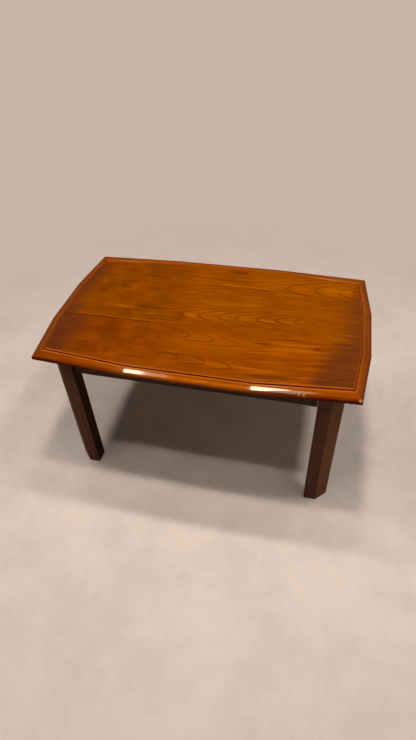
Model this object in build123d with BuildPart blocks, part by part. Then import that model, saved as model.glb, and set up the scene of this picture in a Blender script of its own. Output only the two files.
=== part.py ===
from build123d import *
import os

os.makedirs("parts", exist_ok=True)

# A low table with a bowed, bullnosed top on four legs that fold one by one under it.
# The front legs fold up against the boards, the back legs hang from risers and fold in
# the layer below them. Millimetres, +Z up, +X along the top, origin on the floor under
# the middle of the top.

# The top
table_height = 465.0
top_length = 900.0  # over the middles of the two ends
top_width = 552.0  # over the middles of the two long sides
top_thickness = 18.6
side_bow = 13.5  # how far a long side's middle stands out past its corners
end_bow = 19.5
side_facet = 330.0  # straight middle stretch of a long side
end_facet = 184.6
upper_edge_radius = 11.0
lower_edge_radius = 6.0

# The panel inside the rim, its border strip and its boards
rim_side_width = 22.0  # at the middle of a long side
rim_end_width = 24.5
panel_side_bow = 22.0
panel_end_bow = 15.5
panel_end_facet = 176.0
groove_chamfer = 1.5  # on the rim and on the strip, which together make the groove
tongue_reach = 8.0  # of the panel's tongue into the rim
tongue_thickness = 6.0
tongue_clearance = 0.1
strip_side_width = 7.0
strip_end_width = 4.7
strip_depth = 3.0
front_seam = 63.0  # between front and middle board, from the middle of the top
back_seam = 140.0

# The legs
leg_width = 64.0
leg_depth = 41.0
leg_chamfer = 30.0  # on the outer corner, both ways
leg_edge_radius = 1.5
foot_chamfer = 1.5
leg_setback_x = 35.5  # from the corner of the top to the outer faces of the leg
leg_setback_y = 19.0

# The aprons and what holds them
apron_height = 54.0
apron_thickness = 18.0
apron_gap = 2.0  # between a side apron and the legs
apron_setback = 9.0  # behind the outer faces of the legs
apron_edge_radius = 2.0
tenon_length = 8.0
tenon_thickness = 8.0
tenon_shoulder = 10.0
corner_block_size = 45.0
corner_block_height = 40.0
cleat_size = 18.0
cleat_end_gap = 20.0
cleat_chamfer = 2.0

# The hinges
plate_thickness = 3.0
plate_inset = 2.5  # inside the leg's section
stop_clearance = 0.2  # between a standing leg and its plate
pivot_drop = 21.5  # from the plate down to the pin
tongue_offset = 24.0  # from the leg's inner face
tongue_plate_thickness = 4.0
hub_radius = 12.0
hub_flat_depth = 0.5
shank_width = 13.0
slot_clearance = 0.5  # at each side of the tongue
sweep_clearance = 0.6  # round the hub
shank_clearance = 1.0
pin_radius = 4.0
pin_clearance = 0.05
pin_recess = 2.5
pin_length = 43.0
layer_gap = 2.0  # between the two layers of folded legs

# The leaf springs in the legs' slots
spring_half_length = 14.5
spring_thickness = 1.2
spring_rise = 3.25
spring_width = 4.4
spring_hub_clearance = 0.05
spring_end_clearance = 0.5

# The screw holes in the hinge plates
screw_hole_radius = 2.05
screw_head_radius = 4.05
screw_inset = 11.0  # from the edges of the leg's section

# Levels and places that follow from the sizes
underside = table_height - top_thickness
corner_x = top_length / 2 - end_bow
corner_y = top_width / 2 - side_bow
panel_length = top_length - 2 * rim_end_width
panel_width = top_width - 2 * rim_side_width
panel_corner_x = panel_length / 2 - panel_end_bow
panel_corner_y = panel_width / 2 - panel_side_bow
leg_outer_x = corner_x - leg_setback_x
leg_outer_y = corner_y - leg_setback_y
leg_inner_x = leg_outer_x - leg_width
leg_inner_y = leg_outer_y - leg_depth
hinge_x = leg_inner_x + tongue_offset
hinge_y = leg_outer_y - leg_depth / 2
leg_head = pivot_drop - stop_clearance
apron_x = leg_inner_x - apron_gap
apron_y = leg_outer_y - apron_setback
apron_bottom = underside - apron_height
ring_x = apron_x - apron_thickness
ring_y = apron_y - apron_thickness
riser_height = leg_depth + layer_gap
drop_below_boards = {"front": 0.0, "back": riser_height}

rows = {"front": -1, "back": 1}
sides = {"left": -1, "right": 1}
corners = [(row, side) for row in rows for side in sides]


def save(part, name):
    part.label = name
    export_step(part, f"parts/{name}.step")


# The top: a rim of four mitred rails round a panel of three boards with a border strip


def bowed_outline(length, width, end_rise, side_rise, end_flat, mode=Mode.ADD):
    # Twelve-sided: every side has a straight middle and two ends turned slightly inwards
    corner = (length / 2 - end_rise, width / 2 - side_rise)
    quarter = [(length / 2, end_flat / 2), corner, (side_facet / 2, width / 2)]
    half = quarter + [(-x, y) for x, y in reversed(quarter)]
    Polygon(*half, *[(-x, -y) for x, y in half], align=None, mode=mode)


def top_outline():
    bowed_outline(top_length, top_width, end_bow, side_bow, end_facet)


def panel_outline():
    bowed_outline(panel_length, panel_width, panel_end_bow, panel_side_bow, panel_end_facet)


def strip_inner_outline(mode):
    length = panel_length - 2 * strip_end_width
    width = panel_width - 2 * strip_side_width
    bowed_outline(length, width, panel_end_bow, panel_side_bow, panel_end_facet, mode)


def mitre_point(share, sign_x, sign_y):
    # On the mitre line of a corner: share 0 at the panel's corner, 1 at the top's
    x = panel_corner_x + share * (corner_x - panel_corner_x)
    y = panel_corner_y + share * (corner_y - panel_corner_y)
    return (sign_x * x, sign_y * y)


def mitred_side(ends):
    # The part of a frame that one side takes, between the mitre lines of its two ends
    outer = [mitre_point(3.0, *end) for end in ends]
    inner = [mitre_point(-0.5, *end) for end in reversed(ends)]
    Polygon(*outer, *inner, align=None)


frame_sides = {
    "front": [(-1, -1), (1, -1)],
    "right": [(1, -1), (1, 1)],
    "back": [(1, 1), (-1, 1)],
    "left": [(-1, 1), (-1, -1)],
}

with BuildPart() as rim:
    with BuildSketch(Plane.XY.offset(underside)):
        top_outline()
    extrude(amount=top_thickness)
    fillet(rim.faces().sort_by(Axis.Z)[-1].edges(), upper_edge_radius)
    fillet(rim.faces().sort_by(Axis.Z)[0].edges(), lower_edge_radius)
    with BuildSketch(Plane.XY.offset(underside)):
        panel_outline()
    extrude(amount=top_thickness, mode=Mode.SUBTRACT)
    chamfer(rim.faces().sort_by(Axis.Z)[-1].inner_wires()[0].edges(), groove_chamfer)
    groove_height = tongue_thickness + 2 * tongue_clearance
    with BuildSketch(Plane.XY.offset(underside + (top_thickness - groove_height) / 2)):
        panel_outline()
        offset(amount=tongue_reach + tongue_clearance, kind=Kind.INTERSECTION)
    extrude(amount=groove_height, mode=Mode.SUBTRACT)

for name, ends in frame_sides.items():
    with BuildPart() as rail:
        add(rim.part)
        with BuildSketch(Plane.XY.offset(underside)):
            mitred_side(ends)
        extrude(amount=top_thickness, mode=Mode.INTERSECT)
    save(rail.part, f"rim_{name}")

with BuildPart() as strip_frame:
    with BuildSketch(Plane.XY.offset(table_height - strip_depth)):
        panel_outline()
        strip_inner_outline(Mode.SUBTRACT)
    extrude(amount=strip_depth)
    chamfer(strip_frame.faces().sort_by(Axis.Z)[-1].outer_wire().edges(), groove_chamfer)

for name, ends in frame_sides.items():
    with BuildPart() as strip:
        add(strip_frame.part)
        with BuildSketch(Plane.XY.offset(table_height - strip_depth)):
            mitred_side(ends)
        extrude(amount=strip_depth, mode=Mode.INTERSECT)
    save(strip.part, f"border_strip_{name}")


with BuildPart() as panel:
    with BuildSketch(Plane.XY.offset(underside)):
        panel_outline()
    extrude(amount=top_thickness)
    with BuildSketch(Plane.XY.offset(underside + (top_thickness - tongue_thickness) / 2)):
        panel_outline()
        offset(amount=tongue_reach, kind=Kind.INTERSECTION)
    extrude(amount=tongue_thickness)
    with BuildSketch(Plane.XY.offset(table_height - strip_depth)):
        panel_outline()
        strip_inner_outline(Mode.SUBTRACT)
    extrude(amount=strip_depth, mode=Mode.SUBTRACT)

board_edges = {
    "front": (-top_width / 2, -front_seam),
    "middle": (-front_seam, back_seam),
    "back": (back_seam, top_width / 2),
}
for name, (low, high) in board_edges.items():
    with BuildPart() as board:
        add(panel.part)
        with BuildSketch(Plane.XY.offset(underside)):
            with Locations((0, (low + high) / 2)):
                Rectangle(top_length, high - low)
        extrude(amount=top_thickness, mode=Mode.INTERSECT)
    save(board.part, f"top_board_{name}")


# The apron ring: side aprons run through, front and back aprons are tenoned into them


def tenon_outline(row, side):
    x = sides[side] * (ring_x + tenon_length / 2)
    with Locations((x, rows[row] * (apron_y - apron_thickness / 2))):
        Rectangle(tenon_length, tenon_thickness)


for row, sign in rows.items():
    with BuildPart() as apron:
        with BuildSketch(Plane.XY.offset(apron_bottom)):
            with Locations((0, sign * (apron_y - apron_thickness / 2))):
                Rectangle(2 * ring_x, apron_thickness)
        extrude(amount=apron_height)
        fillet(apron.faces().sort_by(Axis.Z)[0].edges().filter_by(Axis.X), apron_edge_radius)
        with BuildSketch(Plane.XY.offset(apron_bottom + tenon_shoulder)):
            for side in sides:
                tenon_outline(row, side)
        extrude(amount=apron_height - 2 * tenon_shoulder)
    save(apron.part, f"apron_{row}")

for side, sign in sides.items():
    with BuildPart() as apron:
        with BuildSketch(Plane.XY.offset(apron_bottom)):
            with Locations((sign * (apron_x - apron_thickness / 2), 0)):
                Rectangle(apron_thickness, 2 * apron_y)
        extrude(amount=apron_height)
        fillet(apron.faces().sort_by(Axis.Z)[0].edges().filter_by(Axis.Y), apron_edge_radius)
        with BuildSketch(Plane.XY.offset(apron_bottom + tenon_shoulder)):
            for row in rows:
                tenon_outline(row, side)
        extrude(amount=apron_height - 2 * tenon_shoulder, mode=Mode.SUBTRACT)
    save(apron.part, f"apron_{side}")

for row, side in corners:
    with BuildPart() as block:
        x, y = sides[side] * ring_x, rows[row] * ring_y
        back_x = x - sides[side] * corner_block_size
        back_y = y - rows[row] * corner_block_size
        with BuildSketch(Plane.XY.offset(underside)):
            Polygon((x, y), (back_x, y), (x, back_y), align=None)
        extrude(amount=-corner_block_height)
    save(block.part, f"corner_block_{row}_{side}")

cleat_reach_x = ring_x - corner_block_size - cleat_end_gap
cleat_reach_y = ring_y - corner_block_size - cleat_end_gap
for name in frame_sides:
    with BuildPart() as cleat:
        with BuildSketch(Plane.XY.offset(underside)):
            if name in rows:
                with Locations((0, rows[name] * (ring_y - cleat_size / 2))):
                    Rectangle(2 * cleat_reach_x, cleat_size)
            else:
                with Locations((sides[name] * (ring_x - cleat_size / 2), 0)):
                    Rectangle(cleat_size, 2 * cleat_reach_y)
        extrude(amount=-cleat_size)
        chamfer(cleat.faces().sort_by(Axis.Z)[0].edges(), cleat_chamfer)
    save(cleat.part, f"cleat_{name}")


def plate_level(row):
    return underside - drop_below_boards[row] - plate_thickness


def pivot_level(row):
    return plate_level(row) - pivot_drop


# The legs, their hinges and the risers over the back legs


def screw_planes(row, side):
    # Facing down from a hinge plate, one for the screw in each of its square corners
    inner_x = leg_inner_x + screw_inset
    outer_x = leg_outer_x - screw_inset
    near_y = leg_inner_y + screw_inset
    far_y = leg_outer_y - screw_inset
    points = [(inner_x, near_y), (inner_x, far_y), (outer_x, near_y)]
    places = [(sides[side] * x, rows[row] * y, plate_level(row)) for x, y in points]
    return [Plane(place, z_dir=(0, 0, -1)) for place in places]


def leg_section(row, side):
    points = [
        (leg_inner_x, leg_inner_y),
        (leg_outer_x, leg_inner_y),
        (leg_outer_x, leg_outer_y - leg_chamfer),
        (leg_outer_x - leg_chamfer, leg_outer_y),
        (leg_inner_x, leg_outer_y),
    ]
    Polygon(*[(sides[side] * x, rows[row] * y) for x, y in points], align=None)


def hinge_plane(row, side):
    # On the middle of the tongue: local x points inwards under the top, local y up
    inwards = -rows[row]
    return Plane(
        origin=(sides[side] * hinge_x, rows[row] * hinge_y, pivot_level(row)),
        x_dir=(0, inwards, 0),
        z_dir=(inwards, 0, 0),
    )


def pin_plane(row, side, distance):
    # Facing outwards along the pin, at a distance from the leg's inner side
    x = sides[side] * (leg_inner_x + distance)
    return Plane((x, rows[row] * hinge_y, pivot_level(row)), z_dir=(sides[side], 0, 0))


slot_width = tongue_plate_thickness + 2 * slot_clearance
slot_reach = shank_width / 2 + shank_clearance
spring_crown = -hub_radius - spring_hub_clearance
spring_end_top = spring_crown - spring_rise
pocket_floor = spring_end_top - spring_thickness
pocket_half_length = spring_half_length + spring_end_clearance

for row, side in corners:
    with BuildPart() as leg:
        with BuildSketch():
            leg_section(row, side)
        extrude(amount=pivot_level(row) + leg_head)
        fillet(leg.edges().filter_by(Axis.Z), leg_edge_radius)
        chamfer(leg.faces().sort_by(Axis.Z)[0].edges(), foot_chamfer)
        # The inner shoulder is rounded about the pin, so that it clears the plate
        with BuildSketch(hinge_plane(row, side)):
            Rectangle(leg_depth, 2 * leg_head, align=(Align.MIN, Align.MIN))
            Circle(leg_head, mode=Mode.SUBTRACT)
        extrude(amount=leg_width, both=True, mode=Mode.SUBTRACT)
        # The slot for the tongue, and below it the pocket for the spring
        with BuildSketch(hinge_plane(row, side)):
            Circle(hub_radius + sweep_clearance)
            with Locations((-slot_reach, -slot_reach)):
                Rectangle(leg_depth, leg_depth, align=(Align.MIN, Align.MIN))
            with Locations((0, pocket_floor)):
                pocket_height = -slot_reach - pocket_floor
                Rectangle(2 * pocket_half_length, pocket_height, align=(Align.CENTER, Align.MIN))
        extrude(amount=slot_width / 2, both=True, mode=Mode.SUBTRACT)
        with BuildSketch(pin_plane(row, side, 0)):
            Circle(pin_radius)
        extrude(amount=pin_recess + pin_length, mode=Mode.SUBTRACT)
    save(leg.part, f"leg_{row}_{side}")

    with BuildPart() as pin:
        with BuildSketch(pin_plane(row, side, pin_recess)):
            Circle(pin_radius)
        extrude(amount=pin_length)
    save(pin.part, f"pivot_pin_{row}_{side}")

    with BuildPart() as spring:
        with BuildSketch(hinge_plane(row, side)):
            with BuildLine():
                top_end = (spring_half_length, spring_end_top)
                low_end = (spring_half_length, pocket_floor)
                top = ThreePointArc((-top_end[0], top_end[1]), (0, spring_crown), top_end)
                low_crown = (0, spring_crown - spring_thickness)
                low = ThreePointArc(low_end, low_crown, (-low_end[0], low_end[1]))
                Line(top @ 1, low @ 0)
                Line(low @ 1, top @ 0)
            make_face()
        extrude(amount=spring_width / 2, both=True)
    save(spring.part, f"leaf_spring_{row}_{side}")

    with BuildPart() as bracket:
        with BuildSketch(Plane.XY.offset(plate_level(row))):
            leg_section(row, side)
            offset(amount=-plate_inset, kind=Kind.INTERSECTION, mode=Mode.REPLACE)
        extrude(amount=plate_thickness)
        with Locations(*screw_planes(row, side)):
            CounterSinkHole(
                radius=screw_hole_radius,
                counter_sink_radius=screw_head_radius,
                depth=plate_thickness,
                counter_sink_angle=90,
            )
        with BuildSketch(hinge_plane(row, side)):
            Circle(hub_radius)
            Rectangle(shank_width, pivot_drop, align=(Align.CENTER, Align.MIN))
            with Locations((0, -hub_radius)):
                Rectangle(2 * hub_radius, 2 * hub_flat_depth, mode=Mode.SUBTRACT)
            with Locations((hub_radius, 0)):
                Rectangle(2 * hub_flat_depth, 2 * hub_radius, mode=Mode.SUBTRACT)
            Circle(pin_radius + pin_clearance, mode=Mode.SUBTRACT)
        extrude(amount=tongue_plate_thickness / 2, both=True)
    save(bracket.part, f"hinge_bracket_{row}_{side}")

for side in sides:
    with BuildPart() as riser:
        with BuildSketch(Plane.XY.offset(underside - riser_height)):
            leg_section("back", side)
        extrude(amount=riser_height)
        fillet(riser.edges().filter_by(Axis.Z), leg_edge_radius)
    save(riser.part, f"riser_{side}")
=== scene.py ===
import bmesh
import bpy
import math
from mathutils import Matrix, Vector


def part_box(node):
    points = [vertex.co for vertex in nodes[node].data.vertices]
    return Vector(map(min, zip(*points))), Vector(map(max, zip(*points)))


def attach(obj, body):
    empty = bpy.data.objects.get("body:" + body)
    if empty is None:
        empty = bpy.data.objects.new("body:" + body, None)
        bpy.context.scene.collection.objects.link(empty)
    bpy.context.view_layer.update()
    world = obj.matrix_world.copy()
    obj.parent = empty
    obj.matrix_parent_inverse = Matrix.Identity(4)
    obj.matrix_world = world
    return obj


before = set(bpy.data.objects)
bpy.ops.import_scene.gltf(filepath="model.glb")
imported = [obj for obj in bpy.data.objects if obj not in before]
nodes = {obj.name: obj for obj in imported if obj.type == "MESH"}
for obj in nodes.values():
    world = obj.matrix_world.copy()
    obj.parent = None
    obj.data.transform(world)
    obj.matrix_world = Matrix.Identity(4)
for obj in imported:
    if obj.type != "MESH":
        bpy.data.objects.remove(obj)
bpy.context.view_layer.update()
mm = 0.001
rows = {"front": -1, "back": 1}
sides = {"left": -1, "right": 1}
corners = [(row, side) for row in rows for side in sides]
print("frame loaded:", len(nodes), "nodes")


def colour(red, green, blue):
    # From a colour picker's 0-255 numbers to the linear values that a shader takes
    parts = [part / 255 for part in (red, green, blue)]
    linear = [part / 12.92 if part <= 0.04045 else ((part + 0.055) / 1.055) ** 2.4 for part in parts]
    return (*linear, 1.0)


class Wire:  # an output socket of a finish: sums on it add Math nodes
    def __init__(self, finish, socket):
        self.finish = finish
        self.socket = socket

    def math(self, operation, *others):
        values = dict(enumerate((self, *others)))
        return self.finish.node("ShaderNodeMath", {"operation": operation}, values)

    def __add__(self, other):
        return self.math("ADD", other)

    def __sub__(self, other):
        return self.math("SUBTRACT", other)

    def __rsub__(self, other):
        return self.finish.node("ShaderNodeMath", {"operation": "SUBTRACT"}, {0: other, 1: self})

    def __mul__(self, other):
        return self.math("MULTIPLY", other)

    def __truediv__(self, other):
        return self.math("DIVIDE", other)

    def __pow__(self, other):
        return self.math("POWER", other)

    def __abs__(self):
        return self.math("ABSOLUTE")

    __radd__ = __add__
    __rmul__ = __mul__


class Finish:  # one node tree: node() adds any node to it and gives back its output
    def __init__(self, owner):
        owner.use_nodes = True
        self.owner = owner
        self.tree = owner.node_tree
        self.tree.nodes.clear()

    def node(self, kind, settings=None, sockets=None, output=0):
        made = self.tree.nodes.new(kind)
        for key, value in (settings or {}).items():
            setattr(made, key, value)
        for key, value in (sockets or {}).items():
            if isinstance(value, Wire):
                self.tree.links.new(value.socket, made.inputs[key])
            else:
                made.inputs[key].default_value = value
        return Wire(self, made.outputs[output]) if made.outputs else None

    def spots(self):
        # Where a point is on the object, in millimetres: x, y and z
        place = self.node("ShaderNodeTexCoord", output="Object")
        larger = self.node("ShaderNodeVectorMath", {"operation": "SCALE"}, {0: place, "Scale": 1 / mm})
        return [self.node("ShaderNodeSeparateXYZ", sockets={0: larger}, output=axis) for axis in range(3)]

    def noise(self, spots, wave, shift=0.0):
        # A wave: its lengths in millimetres along the three spots, or 0 where it doesn't change
        # that way, its detail, its roughness and a shift that keeps it apart from the others
        *lengths, detail, roughness, ownShift = wave
        parts = [spot / length if length else 0.0 for spot, length in zip(spots, lengths)]
        place = self.node("ShaderNodeCombineXYZ", sockets=dict(enumerate(parts)))
        sockets = {"Vector": place, "Scale": 1.0, "W": shift + ownShift}
        sockets.update({"Detail": detail, "Roughness": roughness})
        return self.node("ShaderNodeTexNoise", {"noise_dimensions": "4D"}, sockets)

    def step(self, value, low, high, share=1.0):
        # 0 at low, share at high and smooth between them; low may be the larger one
        sockets = {"Value": value, "From Min": low, "From Max": high, "To Max": share}
        return self.node("ShaderNodeMapRange", {"interpolation_type": "SMOOTHSTEP"}, sockets)

    def mix(self, share, first, second):
        return self.node("ShaderNodeMix", {"data_type": "RGBA"}, {0: share, 6: first, 7: second}, 2)

    def bump(self, height, distance):
        # A height of 1 stands that many millimetres proud
        return self.node("ShaderNodeBump", sockets={"Height": height, "Distance": distance * mm})

    def surface(self, sockets):
        shader = self.node("ShaderNodeBsdfPrincipled", sockets=sockets)
        self.node("ShaderNodeOutputMaterial", sockets={"Surface": shader})
        return self.owner


def newFinish(name):
    return Finish(bpy.data.materials.new(name))


def paint(names, material):
    for name in names:
        nodes[name].data.materials.clear()
        nodes[name].data.materials.append(material)


# Camera, light and floor, in metres

view = {
    "place": (0.29418, -1.1235, 1.32856),
    "turn": (47.016, 2.193, 13.307),
    "lens": 24.371,
    "sensor": 36.0,
}
camera = bpy.data.objects.new("camera", bpy.data.cameras.new("camera"))
bpy.context.scene.collection.objects.link(camera)
camera.location = view["place"]
camera.rotation_euler = [math.radians(angle) for angle in view["turn"]]
camera.data.lens = view["lens"]
camera.data.sensor_width = view["sensor"]
bpy.context.scene.camera = camera
bpy.context.scene.view_settings.view_transform = "Standard"

# Nine ceiling lamps in three rows light everything, with a little light from the right and
# from the floor under the top
ceilingLamps = {
    "x": (-0.95, 0.1, 1.15),
    "rows": {-0.92: 0.5, -0.27: 1.0, 0.41: 1.0},  # each row's y and its share of the power
    "z": 2.86,
    "size": (0.24, 0.14),
    "power": 12.3,
}
softLamps = {
    "sideLamp": {"place": (2.1, -0.35, 2.1), "aim": (0.2, -0.2, 0.25), "size": (0.7, 0.7), "power": 2.5},
    "floorGlow": {"place": (0.0, 0.0, 0.004), "aim": (0.0, 0.0, 1.0), "size": (0.5, 0.25), "power": 0.55},
}
lampTint = (1.0, 0.95, 0.88)

# The glints come from strips that only glossy surfaces see, on an arc round the front edge of
# the top: x from, x to and how bright
strips = {
    "leftStrip": (-1.09, -0.93, 1.0),
    "leftStripFaint": (-0.93, -0.73, 0.12),
    "rightStrip": (-0.08, 0.2, 1.0),
    "rightStripFaint": (0.2, 0.42, 0.14),
}
stripArc = {
    "y": -0.27,
    "z": 0.46,
    "radius": 2.4,
    "from": 46.0,
    "to": 148.0,
    "pieces": 3,
    "brightness": 29.0,
    "tint": (1.0, 0.9, 0.7),
}


def makeLamp(name, place, aim, size, power):
    light = bpy.data.lights.new(name, "AREA")
    light.shape = "RECTANGLE"
    light.size, light.size_y = size
    light.energy = power
    light.color = lampTint
    lamp = bpy.data.objects.new(name, light)
    bpy.context.scene.collection.objects.link(lamp)
    lamp.location = place
    lamp.rotation_euler = (Vector(aim) - lamp.location).to_track_quat("-Z", "Y").to_euler()
    lamp.visible_camera = False
    return lamp


def makeStrip(name, fromX, toX, share):
    middle = (fromX + toX) / 2
    turn = math.radians(stripArc["to"] - stripArc["from"]) / stripArc["pieces"]
    size = (toX - fromX, 2 * stripArc["radius"] * math.tan(turn / 2))
    power = share * stripArc["brightness"] * math.pi * size[0] * size[1]
    aim = (middle, stripArc["y"], stripArc["z"])
    for piece in range(stripArc["pieces"]):
        angle = math.radians(stripArc["from"]) + turn * (piece + 0.5)
        y = stripArc["y"] + stripArc["radius"] * math.cos(angle)
        z = stripArc["z"] + stripArc["radius"] * math.sin(angle)
        lamp = makeLamp(f"{name}_{piece + 1}", (middle, y, z), aim, size, power)
        lamp.visible_diffuse = False
        lamp.data.color = stripArc["tint"]


for lampName, spec in softLamps.items():
    lamp = makeLamp(lampName, spec["place"], spec["aim"], spec["size"], spec["power"])
    lamp.visible_glossy = False
for row, (y, share) in enumerate(ceilingLamps["rows"].items()):
    for count, x in enumerate(ceilingLamps["x"]):
        place, below = (x, y, ceilingLamps["z"]), (x, y, 0.0)
        lampName = f"ceilingLamp_{row + 1}_{count + 1}"
        lamp = makeLamp(lampName, place, below, ceilingLamps["size"], ceilingLamps["power"] * share)
        lamp.visible_glossy = False
for stripName, spec in strips.items():
    makeStrip(stripName, *spec)

room = {
    "backdrop": colour(201, 180, 168),
    "fill": colour(198, 206, 196),
    "fillStrength": 0.13,
    "mirrorStrength": 0.03,
}


def lightRoom():
    # The backdrop for the camera, and a dim fill for the object
    world = bpy.data.worlds.new("room")
    bpy.context.scene.world = world
    f = Finish(world)
    seen = f.node("ShaderNodeLightPath", output="Is Camera Ray")
    mirrored = f.node("ShaderNodeLightPath", output="Is Glossy Ray")
    dim = room["fillStrength"] + mirrored * (room["mirrorStrength"] - room["fillStrength"])
    strength = dim + seen * (1 - dim)
    tone = f.mix(seen, room["fill"], room["backdrop"])
    air = f.node("ShaderNodeBackground", sockets={"Color": tone, "Strength": strength})
    f.node("ShaderNodeOutputWorld", sockets={"Surface": air})


floorFinish = {
    "halfSize": 9.0,
    "segments": 12,
    "pale": colour(230, 213, 204),
    "greyer": colour(214, 199, 190),
    "distant": room["backdrop"],
    "clouds": (210, 210, 0, 6.0, 0.72, 0),
    "cloudy": (0.35, 0.68),
    "roughness": 0.9,
    "unmirrored": 0.84,
    "fade": (560, 1700),  # from the middle of the object, in millimetres
}


def makeFloor():
    bm = bmesh.new()
    segments = floorFinish["segments"]
    bmesh.ops.create_grid(bm, x_segments=segments, y_segments=segments, size=floorFinish["halfSize"])
    mesh = bpy.data.meshes.new("floor")
    bm.to_mesh(mesh)
    bm.free()
    floor = bpy.data.objects.new("floor", mesh)
    bpy.context.scene.collection.objects.link(floor)
    f = newFinish("paleFloor")
    spots = f.spots()
    cloudy = f.step(f.noise(spots, floorFinish["clouds"]), *floorFinish["cloudy"])
    tone = f.mix(cloudy, floorFinish["pale"], floorFinish["greyer"])
    sockets = {"Base Color": tone, "Roughness": floorFinish["roughness"], "Specular IOR Level": 0.0}
    plaster = f.node("ShaderNodeBsdfPrincipled", sockets=sockets)
    # Away from the lamps the floor keeps its pale colour, from below it isn't there, and
    # lacquer and steel mirror only a part of it
    distant = f.node("ShaderNodeEmission", sockets={"Color": floorFinish["distant"], "Strength": 1.0})
    nothing = f.node("ShaderNodeBsdfTransparent")
    seen = f.node("ShaderNodeLightPath", output="Is Camera Ray")
    fromBelow = f.node("ShaderNodeNewGeometry", output="Backfacing")
    mirrored = f.node("ShaderNodeLightPath", output="Is Glossy Ray")
    hidden = fromBelow.math("MAXIMUM", mirrored * floorFinish["unmirrored"])
    x, y = spots[:2]
    far = f.step((x * x + y * y) ** 0.5, *floorFinish["fade"])
    above = f.node("ShaderNodeMixShader", sockets={0: seen * far, 1: plaster, 2: distant})
    either = f.node("ShaderNodeMixShader", sockets={0: hidden, 1: above, 2: nothing})
    f.node("ShaderNodeOutputMaterial", sockets={"Surface": either})
    mesh.materials.append(f.owner)


lightRoom()
makeFloor()
print("camera, lamps and floor ready")

# The outlines of the top, read from the frame: the distance inside or outside of them
# steers the grain of the rim and the dirt in the groove. From here on, in millimetres

kinks = {"side": 165.0, "topEnd": 92.3, "panelEnd": 88.0}  # ends of the straight middles
rimRight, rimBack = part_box("rim_right")[1] / mm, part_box("rim_back")[1] / mm
stripRight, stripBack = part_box("border_strip_right")[1] / mm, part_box("border_strip_back")[1] / mm
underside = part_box("rim_right")[0].z / mm


def quarterOutline(right, back, endKink):
    return (kinks["side"], back.y), (back.x, right.y), (right.x, endKink)


topOutline = quarterOutline(rimRight, rimBack, kinks["topEnd"])
panelOutline = quarterOutline(stripRight, stripBack, kinks["panelEnd"])


def beyondLine(x, y, start, end):
    # How far a point lies to the left of the way from start to end
    along = (Vector(end) - Vector(start)).normalized()
    return x * -along.y + y * along.x + (start[0] * along.y - start[1] * along.x)


def outside(x, y, outline):
    # Above 0 outside of a twelve-sided outline given by its quarter, and below 0 inside
    x, y = abs(x), abs(y)
    side, corner, end = outline
    far = (y - side[1]).math("MAXIMUM", x - end[0])
    for start, stop in ((corner, side), (end, corner)):
        far = far.math("MAXIMUM", beyondLine(x, y, start, stop) * -1)
    return far


def fromMitre(x, y):
    # Distance from the mitre lines at the four corners
    return abs(beyondLine(abs(x), abs(y), panelOutline[1], topOutline[1]))


# The three boards. The tree's centre runs under a board at each y of its middles, and the
# rings round it come out as nested arches. The heart says how the centre runs: its slant
# (drift), what that gains right of the crest (rise), the x where it lies deepest (crest), how
# deep, and how fast it comes up from there to the left and to the right

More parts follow.
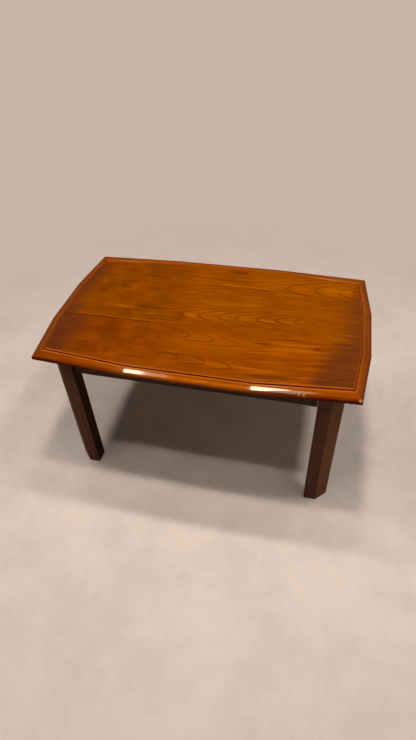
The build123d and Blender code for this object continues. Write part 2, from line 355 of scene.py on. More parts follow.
boards = {
    "front": {
        "middles": (-109, -201),
        "heart": {"drift": -0.1, "rise": 0.2, "crest": 170, "depth": 46.0, "left": 0.075, "right": 0.015},
        "clear": (-110, -20, 110, 230),  # x where the arches start, are clear, start to fade and end
        "spread": 46.0,  # how far the clear arches reach to each side
        "lines": 0.7,  # how dark the lines of the rings are
        "bold": 1.0,  # how bold the broad streaks at the right are
        "gild": 0.42,
        "red": 0.28,
        "leftTone": 0.85,
        "leftEnd": (-305, -395, 0.95),  # x where the dark end starts and is full, and how dark
        "rightEnd": (316, 372, 0.85),
        "endSlant": 0.4,
        "shift": 3.0,
        # Dark and golden streaks: x, y, half length, half width, slant and strength
        "dark": [
            (-260, -65.2, 210, 2.2, 0.0, 0.9),
            (382, -64.8, 36, 1.8, 0.0, 0.85),
            (-95, -78, 45, 2.0, -0.2, 0.55),
            (240, -74, 72, 1.6, 0.03, 0.7),
            (165, -101, 26, 2.2, 0.05, 0.6),
            (311, -97, 12, 5.0, 0.1, 0.5),
            (215, -226, 74, 8.0, 0.1, 0.58),
            (-62, -186, 46, 5.0, 0.02, 0.5),
            (-150, -215, 60, 3.0, -0.03, 0.4),
            (350, -212, 42, 1.6, 0.35, 0.5),
        ],
        "golden": [
            (255, -92, 66, 4.0, 0.07, 0.8),
            (235, -116, 80, 5.0, 0.14, 0.6),
            (190, -134, 70, 3.5, 0.16, 0.5),
            (155, -203, 80, 5.0, 0.0, 0.6),
            (55, -205, 45, 8.0, -0.05, 0.35),
            (40, -120, 130, 42.0, 0.0, 0.28),
        ],
    },
    "middle": {
        "middles": (-6,),
        "heart": {"drift": 0.055, "rise": 0.0, "crest": -150, "depth": 79.2, "left": 0.1, "right": 0.1},
        "clear": (-260, -70, 170, 330),
        "spread": 120.0,
        "lines": 0.86,
        "bold": 0.1,
        "gild": 0.45,
        "red": 0.0,
        "leftTone": 0.5,
        "leftEnd": (-362, -415, 0.75),
        "rightEnd": (318, 440, 0.85),
        "endSlant": 0.0,
        "shift": 7.0,
        "dark": [
            (-296, 104, 6, 10, 0.0, 0.45),
            (-180, 4, 42, 12, 0.0, 0.35),
            (40, 138.5, 80, 1.4, 0.07, 0.6),
            (-235, -20, 60, 2.0, 0.16, 0.5),
        ],
        "golden": [
            (-270, -4, 55, 5.0, -0.06, 0.4),
            (-250, -59, 185, 3.0, 0.0, 0.3),
            (-48, -12, 24, 7.0, -0.1, 0.45),
            (60, 60, 90, 10.0, 0.1, 0.3),
            (40, 20, 120, 60.0, 0.0, 0.18),
        ],
    },
    "back": {
        "middles": (165,),
        "heart": {"drift": 0.03, "rise": 0.0, "crest": 130, "depth": 136.0, "left": 0.01, "right": 0.068},
        "clear": (-160, 60, 380, 500),
        "spread": 80.0,
        "lines": 0.72,
        "bold": 0.2,
        "gild": 0.3,
        "red": 0.0,
        "leftTone": 0.5,
        "leftEnd": (-345, -420, 0.85),
        "rightEnd": (385, 425, 0.85),
        "endSlant": 0.0,
        "shift": 11.0,
        "dark": [
            (148, 143, 58, 1.5, -0.12, 0.65),
            (62, 167, 58, 1.6, 0.03, 0.65),
            (160, 183, 62, 1.5, 0.28, 0.55),
            (-225, 168, 42, 5.0, 0.0, 0.5),
            (45, 232, 40, 7.0, 0.0, 0.45),
            (398, 186, 6, 7.0, 0.0, 0.35),
        ],
        "golden": [
            (70, 155, 85, 5.0, 0.0, 0.7),
            (350, 178, 45, 9.0, 0.0, 0.5),
            (-60, 176, 60, 4.0, -0.05, 0.3),
            (250, 195, 190, 48.0, 0.0, 0.22),
        ],
    },
}
lacquer = {
    "gold": colour(184, 100, 0),
    "early": colour(147, 72, 0),
    "late": colour(118, 54, 0),
    "line": colour(66, 25, 0),
    "cloud": colour(96, 43, 0),
    "red": colour(140, 56, 0),
    "end": colour(88, 41, 20),
    "under": colour(122, 92, 64),
    # Along x, y and z, but for some along lines that waver
    "noises": {
        "slow": (130, 70, 130, 2.0, 0.5, 0),
        "quick": (34, 12, 12, 2.0, 0.6, 1),
        "patches": (80, 16, 0, 2.0, 0.5, 2),
        "streaks": (100, 7, 7, 4.0, 0.72, 3),
        "pores": (9, 0.7, 0.7, 1.0, 0.5, 4),
        "clouds": (95, 85, 0, 3.0, 0.55, 5),
        "threads": (45, 1.6, 1.6, 2.0, 0.6, 6),
        "shine": (150, 20, 0, 3.0, 0.6, 8),
        "mottle": (15, 9, 0, 2.0, 0.6, 9),
        "bold": (190, 8, 0, 2.0, 0.55, 10),
        "blots": (62, 44, 0, 3.0, 0.6, 12),
    },
    # Between which values a noise goes from not showing to its full share
    "shows": {
        "patches": (0.3, 0.6),
        "streaks": (0.38, 0.62, 0.32),
        "betweenStreaks": (0.66, 0.34),
        "pores": (0.6, 0.78),
        "clouds": (0.45, 0.7, 0.34),
        "threads": (0.48, 0.72, 0.22),
        "shine": (0.46, 0.68),
        "mottle": (0.46, 0.72),
        "blots": (0.5, 0.7, 0.16),
    },
    "waviness": {"along": 40.0, "slow": 9.0, "quick": 3.0, "darkStreaks": 3.0},
    "rings": {
        "spacing": 5.0,
        "crestRound": 60.0,
        "blend": 14.0,  # where the rings of two middles meet
        "after": (5.2, 0.4),  # a line fades out from 0.4 to 5.2 past its ring
        "before": (0.9, 0.2),
        "clearness": (0.25, 0.35, 0.4),  # everywhere, added where x is clear, and near the middle
        "arms": (0.3, 0.85, 0.6),  # the arms of an arch are fainter than its tip
        "uneven": 0.4,
        "broken": 0.5,
        "late": 0.6,
    },
    "leftPart": {
        "x": (-30, -210),
        "ragged": 160.0,
        "even": 0.45,
        "blots": (0.38, 0.62, 0.8),
        "cloud": 0.75,
        "mottle": 0.2,
    },
    "boldPart": {"x": (110, 190), "slant": 0.13, "gold": (0.52, 0.66, 0.7), "dark": (0.47, 0.34, 0.6)},
    "darkEnds": {"ragged": 50.0, "streaky": 30.0, "streaks": (0.35, 0.65, 0.3)},
    "shineSlant": 0.08,
    "mottle": 0.15,
    "pores": 0.2,
    "streakFade": (1.3, 0.2),
    "bare": (4, 1, 0.8),  # where the bare wood starts and is full, above the underside
    "coat": 0.16,
    "coatRoughness": 0.08,
    "roughness": 0.36,
    "bareRougher": 0.3,
    "streaksRougher": 0.1,
    "relief": {"streaks": 0.4, "lines": 0.5, "pores": 0.6, "height": 0.02},
}


def ringsRound(x, y, middle, heart):
    # Distance from the tree's centre, so one more ring every spacing
    reach = x - heart["crest"]
    rounded = (reach * reach + lacquer["rings"]["crestRound"] ** 2) ** 0.5
    climb = (heart["left"] + heart["right"]) / 2
    lean = (heart["right"] - heart["left"]) / 2
    depth = heart["depth"] - rounded * climb - reach * lean
    across = y - middle - x * heart["drift"] - (rounded + reach) / 2 * heart["rise"]
    ring = (across * across + depth * depth) ** 0.5
    # How fast the rings follow each other here: slowly at an arch's tip, quickly along its arms
    pitch = max(heart["left"], heart["right"])
    rate = (across * across + (depth * pitch) ** 2.0) ** 0.5 / ring
    return ring, rate, abs(across)


def growthRings(f, x, wavyX, wavyY, patches, board):
    # The lines of the rings, and the late wood that darkens towards them
    rings = lacquer["rings"]
    found = [ringsRound(wavyX, wavyY, middle, board["heart"]) for middle in board["middles"]]
    ring, rate, aside = found[0]
    for other, otherRate, otherAside in found[1:]:
        nearer = other.math("LESS_THAN", ring)
        rate = rate + nearer * (otherRate - rate)
        ring = ring.math("SMOOTH_MIN", other, rings["blend"])
        aside = aside.math("MINIMUM", otherAside)
    turn = ring / rings["spacing"]
    number = turn.math("FLOOR")
    phase = turn - number
    uneven = f.node("ShaderNodeTexWhiteNoise", {"noise_dimensions": "1D"}, {"W": number + board["shift"]})
    everywhere, inReach, close = rings["clearness"]
    clearFrom, clearFull, fadeFrom, fadeEnd = board["clear"]
    clear = f.step(x, clearFrom, clearFull) * f.step(x, fadeEnd, fadeFrom)
    clear = everywhere + clear * (inReach + f.step(aside, board["spread"], board["spread"] / 3, close))
    clear = clear * (1 - f.step(rate, *rings["arms"]))
    after = phase * rings["spacing"] / rate  # millimetres past the ring's line
    before = (1 - phase) * rings["spacing"] / rate
    line = f.step(after, *rings["after"]) + f.step(before, *rings["before"])
    line = line * (1 - rings["uneven"] + uneven * rings["uneven"])
    line = line * (1 - rings["broken"] + patches * rings["broken"]) * clear
    return line, (1 - phase) ** 2.0 * clear * rings["late"]


def streakAt(f, x, y, mark):
    # Full along the middle of a streak, fading out towards its ends and sides
    middleX, middleY, reach, width, slant, strength = mark
    along = (x - middleX) / reach
    across = (y - middleY - (x - middleX) * slant) / width
    return f.step(along * along + across * across, *lacquer["streakFade"], strength)


def panelFinish(name, board):
    f = newFinish(f"lacqueredBoard_{name}")
    x, y, z = f.spots()
    waviness, relief = lacquer["waviness"], lacquer["relief"]
    leftPart, boldPart, darkEnds = lacquer["leftPart"], lacquer["boldPart"], lacquer["darkEnds"]

    def noise(kind, along=x, across=y):
        return f.noise((along, across, z), lacquer["noises"][kind], board["shift"])

    def shown(value, kind):
        return f.step(value, *lacquer["shows"][kind])

    slow, quick = noise("slow") - 0.5, noise("quick") - 0.5
    wavyX = x + slow * waviness["along"]
    wavyY = y + slow * waviness["slow"] + quick * waviness["quick"]
    line, late = growthRings(f, x, wavyX, wavyY, shown(noise("patches"), "patches"), board)
    streaks = noise("streaks", wavyX, wavyY)
    pores = shown(noise("pores"), "pores")
    tone = f.mix(late + shown(streaks, "streaks"), lacquer["early"], lacquer["late"])
    shine = shown(noise("shine", x, y - x * lacquer["shineSlant"]), "shine")
    gilded = shine * shown(streaks, "betweenStreaks") * board["gild"]
    tone = f.mix(gilded, tone, lacquer["gold"])
    # Darker and cloudier towards the left
    blots = noise("blots")
    leftTone = f.step(x + slow * leftPart["ragged"], *leftPart["x"]) * board["leftTone"]
    leftTone = leftTone * (leftPart["even"] + f.step(blots, *leftPart["blots"]))
    clouds = shown(noise("clouds"), "clouds") + leftTone * leftPart["cloud"]
    mottle = shown(noise("mottle"), "mottle") * (lacquer["mottle"] + leftTone * leftPart["mottle"])
    for share in (clouds, mottle, shown(blots, "blots")):
        tone = f.mix(share, tone, lacquer["cloud"])
    # Broad slanting streaks towards the right
    bold = noise("bold", wavyX, wavyY - x * boldPart["slant"])
    boldHere = f.step(x, *boldPart["x"]) * board["bold"]
    tone = f.mix(f.step(bold, *boldPart["gold"]) * boldHere, tone, lacquer["gold"])
    tone = f.mix(f.step(bold, *boldPart["dark"]) * boldHere, tone, lacquer["cloud"])
    for mark in board["golden"]:
        tone = f.mix(streakAt(f, wavyX, wavyY, mark), tone, lacquer["gold"])
    tone = f.mix(board["red"], tone, lacquer["red"])
    # Both ends
    raggedX = x + quick * darkEnds["ragged"] + (streaks - 0.5) * darkEnds["streaky"]
    slanting = raggedX - (y - board["middles"][0]) * board["endSlant"]
    ends = f.step(raggedX, *board["leftEnd"]) + f.step(slanting, *board["rightEnd"])
    streaky = 1 - darkEnds["streaks"][2] + f.step(streaks, *darkEnds["streaks"])
    tone = f.mix(ends * streaky, tone, lacquer["end"])
    # Lines, pores and dark streaks
    tone = f.mix(line * board["lines"], tone, lacquer["line"])
    threads = shown(noise("threads", x, wavyY), "threads")
    tone = f.mix(threads + pores * lacquer["pores"], tone, lacquer["line"])
    for mark in board["dark"]:
        tone = f.mix(streakAt(f, x, y + quick * waviness["darkStreaks"], mark), tone, lacquer["line"])
    # Bare wood below
    bareFrom, bareTo, bareShare = lacquer["bare"]
    below = f.step(z, underside + bareFrom, underside + bareTo)
    tone = f.mix(below * bareShare, tone, lacquer["under"])
    rough = lacquer["roughness"] + (streaks - 0.5) * lacquer["streaksRougher"]
    height = streaks * relief["streaks"] - line * relief["lines"] - pores * relief["pores"]
    return f.surface({
        "Base Color": tone,
        "Roughness": rough + below * lacquer["bareRougher"],
        "Specular IOR Level": 0.0,
        "Coat Weight": lacquer["coat"] * (1 - below),
        "Coat Roughness": lacquer["coatRoughness"],
        "Normal": f.bump(height, relief["height"]),
    })


for boardName, board in boards.items():
    paint([f"top_board_{boardName}"], panelFinish(boardName, board))
print("boards finished")

# The rim's rails and the border strip: grain runs along each side

rimFinish = {
    "gold": colour(192, 98, 0),
    # painted sheen along the middle of the front rail's nose
    "paintedSheen": colour(204, 101, 0),
    "red": colour(140, 44, 0),
    "light": colour(156, 73, 0),
    "brown": colour(116, 50, 0),
    "dark": colour(78, 30, 0),
    # painted shade of the side and back rails
    "paintedShade": colour(64, 48, 34),
    # painted shade on the lower part of the nose
    "edge": colour(62, 16, 0),
    # the dark of the groove, the mitre seams and the joints
    "darkening": colour(60, 16, 26),
    "scuff": colour(206, 140, 80),
    # Along the rail, away from the panel and up, and for the knocks x, y and z
    "noises": {
        "wave": (120, 30, 30, 2.0, 0.5, 0),
        "fine": (150, 2, 2, 3.0, 0.6, 1),
        "bands": (260, 9, 6, 2.0, 0.5, 2),
        "pores": (10, 0.7, 0.7, 1.0, 0.5, 3),
        "knocks": (14, 14, 5, 3.0, 0.7, 4),
    },
    "waviness": 8.0,
    # Between which values a noise goes from not showing to its full share
    "fine": (0.3, 0.72),
    "bands": (0.45, 0.75, 0.55),
    "pores": (0.6, 0.78),
    "scuffs": (0.62, 0.74),
    # Where things start and are full. Minus is inwards from the edge of the top
    "places": {
        "gold": (9, 5),  # away from the panel
        "paintedSheen": (-10, -5),
        "paintedSheenMiddle": (240, 110),  # to both sides of the middle
        "lowLine": 8,  # above the underside
        "lowLineRise": (190, 380, 8),  # towards the corners
        "ragged": 6,
        "lowFade": 7,  # below the low line
        "lowEdge": (-9, -3),
        "red": (5, -1),  # above the low line
        "redEdge": (-11, -5),
        "grooveFade": 0.6,
        "seam": (0.35, 0.1),
        "arris": (5, 1),
        "arrisEdge": (-3, -0.5),
        "nick": (1.2, 0.8),  # in sizes of the nick
        "nickRagged": 2,
        "nickEdge": (-9, -7),
    },
    "shares": {
        "pores": 0.35,
        "gold": 0.75,
        "red": 0.6,
        "paintedShade": 0.6,
        "edge": 0.85,
        "seam": 0.7,
        "scuffs": 0.5,
    },
    "nickStrength": 1.6,
    "roughness": 0.4,
    "grainRougher": 0.15,
    "scuffsRougher": 0.2,
    "edgeDuller": 0.6,
    "coatRoughness": 0.06,
    "relief": {"grain": 0.4, "pores": 0.5, "seam": 1.5, "height": 0.04},
}
# How strong the painted sheen on a rail's nose is, how much painted shade darkens the rail,
# how dark its groove is and how far that reaches, the width of the strip beside it, and its
# nicks: x, z and size
rails = {
    "front": {
        "paintedSheen": 0.75, "paintedShade": 0.0, "darkening": 1.0, "darkeningReach": 2.9, "coat": 1.0, "strip": 7.0,
        "nicks": [(281, 461, 2.6), (293, 461, 3.0), (424, 460, 3.5)], "shift": 21.0,
    },
    "right": {
        "paintedSheen": 0.0, "paintedShade": 0.45, "darkening": 0.6, "darkeningReach": 1.6, "coat": 0.6, "strip": 4.7,
        "nicks": [], "shift": 23.0,
    },
    "back": {
        "paintedSheen": 0.0, "paintedShade": 0.25, "darkening": 0.5, "darkeningReach": 1.5, "coat": 0.4, "strip": 7.0,
        "nicks": [], "shift": 25.0,
    },
    "left": {
        "paintedSheen": 0.0, "paintedShade": 0.6, "darkening": 0.4, "darkeningReach": 1.5, "coat": 0.6, "strip": 4.7,
        "nicks": [], "shift": 27.0,
    },
}


def scuffsOf(f, x, z, knocks, fromEdge, nicks):
    # Scuffs along the lower arris, and the nicks
    places = rimFinish["places"]
    arris = f.step(abs(z - (underside + places["lowLine"])), *places["arris"])
    arris = arris * f.step(fromEdge, *places["arrisEdge"])
    scuffed = f.step(knocks, *rimFinish["scuffs"]) * arris
    for nickX, nickZ, size in nicks:
        awayX, awayZ = (x - nickX) / size, (z - nickZ) / size
        away = (awayX * awayX + awayZ * awayZ) ** 0.5 + (knocks - 0.5) * places["nickRagged"]
        nick = f.step(away, *places["nick"]) * f.step(fromEdge, *places["nickEdge"])
        scuffed = scuffed.math("MAXIMUM", nick * rimFinish["nickStrength"])
    return scuffed


def railFinish(name, rail):
    f = newFinish(f"lacqueredRail_{name}")
    x, y, z = f.spots()
    along = x if name in rows else y
    fromPanel = outside(x, y, panelOutline)
    fromEdge = outside(x, y, topOutline)
    places, shares, relief = rimFinish["places"], rimFinish["shares"], rimFinish["relief"]

    def noise(kind, spots):
        return f.noise(spots, rimFinish["noises"][kind], rail["shift"])

    wave = (noise("wave", (along, fromPanel, z)) - 0.5) * rimFinish["waviness"]
    fine = noise("fine", (along, fromPanel + wave, z))
    bands = noise("bands", (along, fromPanel + wave, z))
    pores = f.step(noise("pores", (along, fromPanel, z)), *rimFinish["pores"])
    knocks = noise("knocks", (x, y, z))
    tone = f.mix(f.step(fine, *rimFinish["fine"]), rimFinish["light"], rimFinish["brown"])
    tone = f.mix(f.step(bands, *rimFinish["bands"]), tone, rimFinish["dark"])
    tone = f.mix(pores * shares["pores"], tone, rimFinish["dark"])
    golden = f.step(fromPanel, *places["gold"]) * (shares["gold"] - rail["paintedShade"])
    tone = f.mix(golden, tone, rimFinish["gold"])
    # Painted sheen: the middle of the front rail's nose is lightened
    paintedSheen = f.step(fromEdge, *places["paintedSheen"]) * f.step(abs(x), *places["paintedSheenMiddle"])
    tone = f.mix(paintedSheen * rail["paintedSheen"], tone, rimFinish["paintedSheen"])
    # Towards the underside the colour turns red, and then dark with painted shade where the nose turns
    # down
    lowLine = underside + places["lowLine"] + f.step(abs(x), *places["lowLineRise"])
    raggedZ = z + (knocks - 0.5) * places["ragged"]
    redFrom, redTo = places["red"]
    redder = f.step(raggedZ, lowLine + redFrom, lowLine + redTo) * f.step(fromEdge, *places["redEdge"])
    tone = f.mix(redder * shares["red"], tone, rimFinish["red"])
    # Painted shade: the side and back rails are darkened and lose some of their gold
    tone = f.mix(rail["paintedShade"] * shares["paintedShade"], tone, rimFinish["paintedShade"])
    # Painted shade on the lower part of the nose
    low = f.step(raggedZ, lowLine, lowLine - places["lowFade"]) * f.step(fromEdge, *places["lowEdge"])
    tone = f.mix(low * shares["edge"], tone, rimFinish["edge"])
    # Darker in and just beside the groove
    inGroove = f.step(fromPanel, rail["darkeningReach"], rail["darkeningReach"] - places["grooveFade"])
    tone = f.mix(inGroove * rail["darkening"], tone, rimFinish["darkening"])
    seam = f.step(fromMitre(x, y), *places["seam"])
    tone = f.mix(seam * shares["seam"], tone, rimFinish["darkening"])
    scuffed = scuffsOf(f, x, z, knocks, fromEdge, rail["nicks"])
    tone = f.mix(scuffed * shares["scuffs"], tone, rimFinish["scuff"])
    rough = rimFinish["roughness"] + (fine - 0.5) * rimFinish["grainRougher"]
    height = fine * relief["grain"] - pores * relief["pores"] - seam * relief["seam"] - scuffed
    return f.surface({
        "Base Color": tone,
        "Roughness": rough + scuffed * rimFinish["scuffsRougher"],
        "Specular IOR Level": 0.0,
        "Coat Weight": rail["coat"] * (1 - low * rimFinish["edgeDuller"]) * (1 - inGroove),
        "Coat Roughness": rimFinish["coatRoughness"],
        "Normal": f.bump(height, relief["height"]),
    })


borderFinish = {
    "light": colour(182, 92, 0),
    "brown": colour(152, 68, 0),
    # painted shade of the strips beside the shaded rails
    "paintedShade": colour(112, 50, 7),
    "darkening": colour(60, 16, 26),
    "fine": (110, 1.4, 1.4, 3.0, 0.6, 31),
    "grain": (0.3, 0.7),
    "paintedShadeShare": 1.6,
    "joint": (0.9, 0.3, 0.5),
    "roughness": 0.4,
    "grainRougher": 0.1,
    "coat": 0.25,
    "coatRoughness": 0.1,
    "relief": 0.02,
}


def borderStrip(name, rail):
    f = newFinish(f"lacqueredStrip_{name}")
    x, y, z = f.spots()
    along = x if name in rows else y
    fromPanel = outside(x, y, panelOutline)
    fine = f.noise((along, fromPanel, z), borderFinish["fine"])
    tone = f.mix(f.step(fine, *borderFinish["grain"]), borderFinish["light"], borderFinish["brown"])
    # Painted shade beside the shaded rails
    tone = f.mix(rail["paintedShade"] * borderFinish["paintedShadeShare"], tone, borderFinish["paintedShade"])
    grooveFade = rimFinish["places"]["grooveFade"]
    # Darker in and just beside the groove
    inGroove = f.step(fromPanel, -rail["darkeningReach"], grooveFade - rail["darkeningReach"])
    tone = f.mix(inGroove * rail["darkening"], tone, borderFinish["darkening"])
    joint = f.step(abs(fromPanel + rail["strip"]), *borderFinish["joint"])
    tone = f.mix(joint, tone, borderFinish["darkening"])
    return f.surface({
        "Base Color": tone,
        "Roughness": borderFinish["roughness"] + (fine - 0.5) * borderFinish["grainRougher"],
        "Specular IOR Level": 0.0,
        "Coat Weight": borderFinish["coat"] * (1 - inGroove),
        "Coat Roughness": borderFinish["coatRoughness"],
        "Normal": f.bump(fine, borderFinish["relief"]),
    })


for railName, rail in rails.items():
    paint([f"rim_{railName}"], railFinish(railName, rail))
    paint([f"border_strip_{railName}"], borderStrip(railName, rail))
print("rim and border strip finished")

# Legs, aprons and risers: dark stained wood under a thin satin lacquer

darkWood = {
    "light": colour(106, 65, 44),
    "brown": colour(86, 50, 34),
    "dark": colour(46, 25, 17),
    # painted shade of the legs' inner faces
    "paintedShadeBrown": colour(24, 10, 4),
    # worn wood, and painted light on the legs' chamfers
    "worn": colour(128, 82, 52),
    "bands": (0.3, 0.7),
    "grain": (0.4, 0.8, 0.35),
    "poreShare": 0.4,
    # painted shade over the aprons
    "apronPaintedShade": 0.4,
    "wornShare": 0.6,
    "roughness": 0.5,
    "grainRougher": 0.2,
    "wornRougher": 0.2,
    "coat": 0.3,
    "wornDuller": 0.7,
    "coatRoughness": 0.3,
    "relief": {"grain": 0.5, "worn": 0.6, "height": 0.05},
    # Painted light lightens the chamfer and painted shade darkens the inner face: from, to and how much
    "chamfer": (-1.2, -0.4, 0.7),
    "inner": (0.8, 0.2, 0.8),
    # Wear: where the arris, the foot and the aprons' lower edge start and are full, in
    # millimetres, and between which values the knocks show there
    "wear": {
        "knocks": (11, 11, 16, 3.0, 0.7, 4),
        "arris": (2.4, 0.5),
        "foot": (34, 3),
        "apronLow": (-48, -53),  # from the underside
        "moreOnArris": 0.13,
        "moreAtFoot": 0.1,
        "arrisShows": (0.66, 0.78),
        "footShows": (0.68, 0.8),
        "footShare": 0.5,
        "apronShows": (0.62, 0.76),
    },
}
legLow, legHigh = [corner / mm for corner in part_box("leg_back_right")]
legChamfer = 30.0
legArrises = [
    (legLow.x, legLow.y),
    (legHigh.x, legLow.y),
    (legHigh.x, legHigh.y - legChamfer),
    (legHigh.x - legChamfer, legHigh.y),
    (legLow.x, legHigh.y),
]
# Grain of the dark and of the bare pieces: along, across and through a piece
timber = {
    "wave": (210, 60, 60, 2.0, 0.5, 0),
    "bands": (340, 7, 7, 3.0, 0.55, 1),
    "fine": (90, 1.3, 1.3, 2.0, 0.6, 2),
    "pores": (9, 0.6, 0.6, 1.0, 0.5, 3),
    "poresShow": (0.6, 0.76),
    "waviness": 14.0,
}


def grainFirst(spots, axis):
    # The same three, with the one along the grain in front
    return [spots[axis]] + [spot for spot in spots if spot is not spots[axis]]


def timberGrain(f, spots, shift):
    # Straight grain along a piece: how dark it is, its fine lines and its pores
    along, across, depth = spots
    wave = (f.noise(spots, timber["wave"], shift) - 0.5) * timber["waviness"]
    bands = f.noise((along, across + wave, depth + wave), timber["bands"], shift)
    fine = f.noise(spots, timber["fine"], shift)
    pores = f.step(f.noise(spots, timber["pores"], shift), *timber["poresShow"])
    return bands, fine, pores


def legWear(f, x, y, z, knocks):
    # Worn along the arrises and at the foot
    wear = darkWood["wear"]
    distances = []
    for arrisX, arrisY in legArrises:
        awayX, awayY = abs(x) - arrisX, abs(y) - arrisY
        distances.append((awayX * awayX + awayY * awayY) ** 0.5)
    nearest = distances[0]
    for distance in distances[1:]:
        nearest = nearest.math("MINIMUM", distance)
    onArris = f.step(nearest, *wear["arris"])
    foot = f.step(z, *wear["foot"])
    sooner = onArris * wear["moreOnArris"] + foot * onArris * wear["moreAtFoot"]
    arrisWorn = f.step(knocks + sooner, *wear["arrisShows"]) * onArris
    footWorn = f.step(knocks + foot * wear["moreAtFoot"], *wear["footShows"]) * foot
    return arrisWorn + footWorn * wear["footShare"]


def darkFinish(name, axis, shift):
    # The grain runs along the axis, and only the legs stand along z
    f = newFinish(name)
    spots = f.spots()
    x, y, z = spots
    isLeg = axis == 2
    wear, relief = darkWood["wear"], darkWood["relief"]
    bands, fine, pores = timberGrain(f, grainFirst(spots, axis), shift)
    tone = f.mix(f.step(bands, *darkWood["bands"]), darkWood["light"], darkWood["brown"])
    tone = f.mix(f.step(fine, *darkWood["grain"]), tone, darkWood["dark"])
    # Darker at the pores, and over the whole of each apron with painted shade
    darker = pores * darkWood["poreShare"] + (0.0 if isLeg else darkWood["apronPaintedShade"])
    tone = f.mix(darker, tone, darkWood["dark"])
    knocks = f.noise(spots, wear["knocks"], shift)
    if isLeg:
        worn = legWear(f, x, y, z, knocks)
        beyondChamfer = abs(x) + abs(y) - (legHigh.x + legHigh.y - legChamfer)
        # Painted light: the chamfer is lightened towards the worn colour
        tone = f.mix(f.step(beyondChamfer, *darkWood["chamfer"]), tone, darkWood["worn"])
        # Painted shade: the inner faces are darkened
        tone = f.mix(f.step(abs(x) - legLow.x, *darkWood["inner"]), tone, darkWood["paintedShadeBrown"])
    else:
        worn = f.step(knocks, *wear["apronShows"]) * f.step(z - underside, *wear["apronLow"])
    tone = f.mix(worn * darkWood["wornShare"], tone, darkWood["worn"])
    rough = darkWood["roughness"] + (fine - 0.5) * darkWood["grainRougher"]
    return f.surface({
        "Base Color": tone,
        "Roughness": rough + worn * darkWood["wornRougher"],
        "Specular IOR Level": 0.0,
        "Coat Weight": darkWood["coat"] * (1 - worn * darkWood["wornDuller"]),
        "Coat Roughness": darkWood["coatRoughness"],
        "Normal": f.bump(fine * relief["grain"] - pores - worn * relief["worn"], relief["height"]),
    })


for count, (row, side) in enumerate(corners):
    legWood = darkFinish(f"darkLeg_{row}_{side}", 2, 41.0 + 6 * count)
    paint([f"leg_{row}_{side}"], legWood)
    if row == "back":
        paint([f"riser_{side}"], legWood)
for row in rows:
    paint([f"apron_{row}"], darkFinish(f"darkApron_{row}", 0, 71.0 + rows[row]))
for side in sides:
    paint([f"apron_{side}"], darkFinish(f"darkApron_{side}", 1, 76.0 + sides[side]))
print("legs, aprons and risers finished")

# Blocks and cleats under the top: bare sawn wood

frameWood = {
    "pale": colour(196, 158, 112),
    "brown": colour(158, 116, 74),
    "dark": colour(104, 72, 46),
    "bands": (0.3, 0.7),
    "saw": (1.6, 30, 30, 2.0, 0.5, 5),
    "darkening": (60, 25, 25, 3.0, 0.6, 6),
    "dirty": (0.5, 0.8, 0.5),
    "poreShare": 0.35,
    "roughness": 0.75,
    "grainRougher": 0.2,
    "specular": 0.25,
    "relief": {"grain": 0.5, "saw": 0.5, "pores": 0.6, "height": 0.12},
}


def bareFinish(name, axis, shift):
    f = newFinish(name)
    spots = grainFirst(f.spots(), axis)
    bands, fine, pores = timberGrain(f, spots, shift)
    saw = f.noise(spots, frameWood["saw"], shift)
    dirty = f.step(f.noise(spots, frameWood["darkening"], shift), *frameWood["dirty"])
    tone = f.mix(f.step(bands, *frameWood["bands"]), frameWood["pale"], frameWood["brown"])
    tone = f.mix(dirty + pores * frameWood["poreShare"], tone, frameWood["dark"])
    relief = frameWood["relief"]
    height = fine * relief["grain"] + saw * relief["saw"] - pores * relief["pores"]
    return f.surface({
        "Base Color": tone,
        "Roughness": frameWood["roughness"] + (fine - 0.5) * frameWood["grainRougher"],
        "Specular IOR Level": frameWood["specular"],
        "Normal": f.bump(height, relief["height"]),
    })


for row, side in corners:
    shift = 80.0 + rows[row] * 2 + sides[side]
    paint([f"corner_block_{row}_{side}"], bareFinish(f"bareBlock_{row}_{side}", 2, shift))
for row in rows:
    paint([f"cleat_{row}"], bareFinish(f"bareCleat_{row}", 0, 90.0 + rows[row]))
for side in sides:
    paint([f"cleat_{side}"], bareFinish(f"bareCleat_{side}", 1, 95.0 + sides[side]))

# Steel of the hinges: black paint that rubs off at the hub, pins, springs and screws

steel = {
    "paint": colour(34, 33, 33),
    "bare": colour(176, 174, 170),
    "zinc": colour(196, 194, 188),
    "stain": colour(112, 104, 92),
    "blued": colour(70, 78, 96),
    "straw": colour(138, 118, 88),
}
blackPaint = {
    "peel": (1.6, 1.6, 1.6, 2.0, 0.5, 101),
    "chips": (7, 7, 7, 3.0, 0.7, 102),
    "belowTop": 4.0,  # from the bracket's top to just under its plate
    "hub": (7.5, 15.5, 0.16),  # from there, and how much sooner the paint rubs off
    "rubbed": (0.66, 0.72),
    "roughness": 0.4,
    "peelRougher": 0.12,
    "rubbedSmoother": 0.1,
    "specular": 0.4,
    "rubbedLower": 0.8,
    "relief": 0.05,
}
brushedSteel = {
    "brushed": (0.25, 6, 6, 2.0, 0.6, 0),
    "clouds": (5, 5, 5, 3.0, 0.6, 1),
    "stained": (0.45, 0.75),
    "roughness": 0.26,
    "brushedRougher": 0.16,
    "cloudsRougher": (0.5, 0.8, 0.15),
    "relief": 0.01,
}


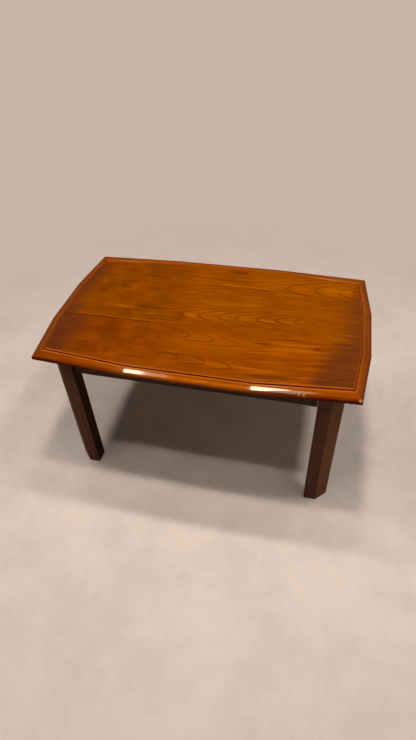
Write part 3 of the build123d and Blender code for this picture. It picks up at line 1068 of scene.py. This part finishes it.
def paintedSteel():
    f = newFinish("blackPaintedSteel")
    spots = f.spots()
    peel = f.noise(spots, blackPaint["peel"])
    chips = f.noise(spots, blackPaint["chips"])
    plates = [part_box(f"hinge_bracket_{row}_left")[1].z / mm - blackPaint["belowTop"] for row in rows]
    fromPlates = [abs(spots[2] - level) for level in plates]
    fromPlate = fromPlates[0].math("MINIMUM", fromPlates[1])
    rubbed = f.step(chips + f.step(fromPlate, *blackPaint["hub"]), *blackPaint["rubbed"])
    rough = blackPaint["roughness"] + peel * blackPaint["peelRougher"]
    return f.surface({
        "Base Color": f.mix(rubbed, steel["paint"], steel["bare"]),
        "Metallic": rubbed,
        "Roughness": rough - rubbed * blackPaint["rubbedSmoother"],
        "Specular IOR Level": blackPaint["specular"],
        "Normal": f.bump(peel - rubbed * blackPaint["rubbedLower"], blackPaint["relief"]),
    })


def plainSteel(name, clean, stained, axis, shift):
    f = newFinish(name)
    spots = grainFirst(f.spots(), axis)
    brushed = f.noise(spots, brushedSteel["brushed"], shift)
    clouds = f.noise(spots, brushedSteel["clouds"], shift)
    rough = brushedSteel["roughness"] + brushed * brushedSteel["brushedRougher"]
    return f.surface({
        "Base Color": f.mix(f.step(clouds, *brushedSteel["stained"]), steel[clean], steel[stained]),
        "Metallic": 1.0,
        "Roughness": rough + f.step(clouds, *brushedSteel["cloudsRougher"]),
        "Normal": f.bump(brushed, brushedSteel["relief"]),
    })


pinSteel = plainSteel("turnedSteel", "zinc", "stain", 0, 111.0)
screwSteel = plainSteel("zincedSteel", "zinc", "stain", 2, 115.0)
springSteel = plainSteel("bluedSpringSteel", "blued", "straw", 1, 121.0)
paint([f"hinge_bracket_{row}_{side}" for row, side in corners], paintedSteel())
paint([f"pivot_pin_{row}_{side}" for row, side in corners], pinSteel)
paint([f"leaf_spring_{row}_{side}" for row, side in corners], springSteel)
print("underframe and hinges finished")

# Screws: cross-recessed, flush in the hinge plates and round-headed in the cleats and blocks.
# A crown lists the angles at which a round head's curve has its rings, from the top down

flatScrew = {
    "head": 3.9,
    "headDepth": 2.0,
    "dome": 0.0,
    "crown": (),
    "shank": 1.95,
    "length": 14.0,
    "sink": 0.12,
}
roundScrew = {
    "head": 3.6,
    "headDepth": 0.3,
    "dome": 1.7,
    "crown": (0.75, 0.35),
    "shank": 1.9,
    "length": 12.0,
    "sink": 0.0,
}
crossSlot = {"reach": 0.58, "width": 0.17, "depth": 1.1, "taper": 0.45}
screwSteps = 24
screwTurns = {"first": 0.7, "each": 1.9}  # so that no two slots stand alike, in radians


def addLoop(bm, points, height):
    return [bm.verts.new((x, y, height)) for x, y in points]


def joinLoops(bm, upper, lower):
    for count in range(len(upper)):
        after = (count + 1) % len(upper)
        bm.faces.new((upper[count], lower[count], lower[after], upper[after]))


def circle(radius):
    angles = [2 * math.pi * count / screwSteps for count in range(screwSteps)]
    return [(radius * math.cos(angle), radius * math.sin(angle)) for angle in angles]


def crossOutline(head):
    reach, width = crossSlot["reach"] * head, crossSlot["width"] * head
    quarter = [(reach, -width), (reach, width), (width, width)]
    spins = [Matrix.Rotation(count * math.pi / 2, 2) for count in range(4)]
    return [spin @ Vector(point) for spin in spins for point in quarter]


def addScrew(bm, spec, place, turn):
    # Modelled with its head at the origin facing up, then turned to face down at its place
    head, shank = spec["head"], spec["shank"]
    profile = [(head * math.cos(angle), spec["dome"] * math.sin(angle)) for angle in spec["crown"]]
    profile += [(head, 0.0), (shank, -spec["headDepth"]), (shank, -spec["length"])]
    rings = [addLoop(bm, circle(radius), height) for radius, height in profile]
    for upper, lower in zip(rings, rings[1:]):
        joinLoops(bm, upper, lower)
    bm.faces.new(rings[-1][::-1])
    top = profile[0][1]
    cross = crossOutline(head)
    mouth = addLoop(bm, cross, top)
    bottom = addLoop(bm, [point * crossSlot["taper"] for point in cross], top - crossSlot["depth"])
    joinLoops(bm, bottom, mouth)
    bm.faces.new(bottom)
    edges = [bm.edges.get((loop[count - 1], loop[count])) for loop in (rings[0], mouth)
             for count in range(len(loop))]
    bmesh.ops.triangle_fill(bm, edges=edges, use_beauty=True, normal=(0, 0, 1))
    made = [vert for ring in rings for vert in ring] + mouth + bottom
    down = Matrix.Rotation(math.pi, 4, "X") @ Matrix.Rotation(turn, 4, "Z")
    sunk = Matrix.Translation((0, 0, -spec["sink"]))
    bmesh.ops.transform(bm, matrix=Matrix.Translation(Vector(place)) @ down @ sunk, verts=made)


def makeScrews(name, spec, places):
    bm = bmesh.new()
    for count, place in enumerate(places):
        addScrew(bm, spec, place, screwTurns["first"] + screwTurns["each"] * count)
    bmesh.ops.recalc_face_normals(bm, faces=bm.faces)
    bmesh.ops.scale(bm, vec=(mm, mm, mm), verts=bm.verts)
    mesh = bpy.data.meshes.new(name)
    bm.to_mesh(mesh)
    bm.free()
    mesh.materials.append(screwSteel)
    screws = bpy.data.objects.new(name, mesh)
    bpy.context.scene.collection.objects.link(screws)
    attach(screws, "table_frame")


screwInset = 11.0  # from the edges of the leg's section
plateThickness = 3.0
nearX, farX = legLow.x + screwInset, legHigh.x - screwInset
nearY, farY = legLow.y + screwInset, legHigh.y - screwInset
for row, side in corners:
    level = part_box(f"hinge_bracket_{row}_{side}")[1].z / mm - plateThickness
    inPlate = ((nearX, nearY), (nearX, farY), (farX, nearY))
    places = [(sides[side] * x, rows[row] * y, level) for x, y in inPlate]
    makeScrews(f"hinge_screws_{row}_{side}", flatScrew, places)

cleatScrews = {"long": (-180.0, 0.0, 180.0), "short": (-100.0, 100.0)}  # from the middle
for row in rows:
    low, high = [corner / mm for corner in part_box(f"cleat_{row}")]
    places = [(x, (low.y + high.y) / 2, low.z) for x in cleatScrews["long"]]
    makeScrews(f"cleat_screws_{row}", roundScrew, places)
for side in sides:
    low, high = [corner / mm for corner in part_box(f"cleat_{side}")]
    places = [((low.x + high.x) / 2, y, low.z) for y in cleatScrews["short"]]
    makeScrews(f"cleat_screws_{side}", roundScrew, places)
blockShare = 0.36  # of a block's side, from its square corner
for row, side in corners:
    low, high = [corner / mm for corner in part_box(f"corner_block_{row}_{side}")]
    x = sides[side] * (max(abs(low.x), abs(high.x)) - blockShare * (high.x - low.x))
    y = rows[row] * (max(abs(low.y), abs(high.y)) - blockShare * (high.y - low.y))
    makeScrews(f"block_screw_{row}_{side}", roundScrew, [(x, y, low.z)])
print("screws placed")
